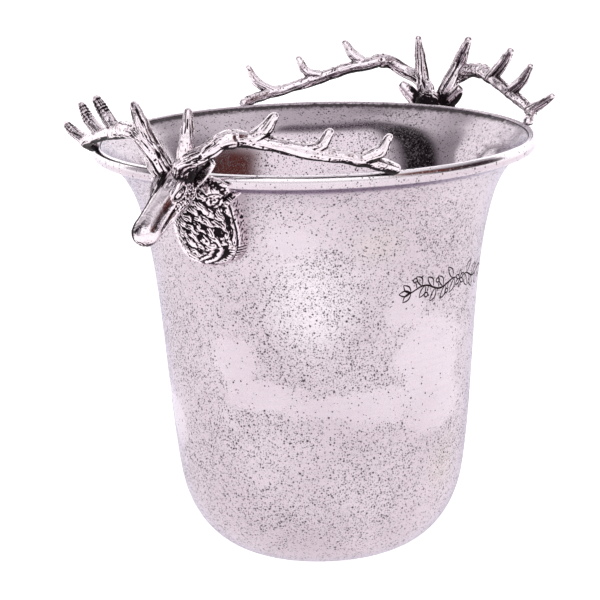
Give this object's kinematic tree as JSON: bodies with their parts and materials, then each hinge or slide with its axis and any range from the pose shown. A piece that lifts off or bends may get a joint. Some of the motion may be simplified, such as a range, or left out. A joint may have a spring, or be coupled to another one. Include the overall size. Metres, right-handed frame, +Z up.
{
  "type": "champagne bucket",
  "caption": "Flared cast metal bucket with a rolled lip and stag heads whose antlers arch over the rim as handles.",
  "frame": {"origin": "centre of the flat base, on the table", "axes": "+Z up; the stags face out along +X and -X; the engraved ornament is centred on -Y"},
  "size_m": [0.3324, 0.24, 0.266],
  "materials": {
    "bucket_metal": "silver-toned satin polish with fine dark casting pits",
    "casting_metal": "polished high points over blackened recesses",
    "fixing_steel": "bright turned steel",
    "sealing_rubber": "matte black"
  },
  "bodies": {
    "root": {"bucket_shell": "bucket_metal", "left_stag_head": "casting_metal", "left_stag_neck": "casting_metal", "left_stag_left_antler": "casting_metal", "left_stag_right_antler": "casting_metal", "left_stag_screw_a": "fixing_steel", "left_stag_screw_b": "fixing_steel", "left_stag_washer_a": "sealing_rubber", "left_stag_washer_b": "sealing_rubber", "right_stag_head": "casting_metal", "right_stag_neck": "casting_metal", "right_stag_left_antler": "casting_metal", "right_stag_right_antler": "casting_metal", "right_stag_screw_a": "fixing_steel", "right_stag_screw_b": "fixing_steel", "right_stag_washer_a": "sealing_rubber", "right_stag_washer_b": "sealing_rubber"}
  },
  "joints": []
}
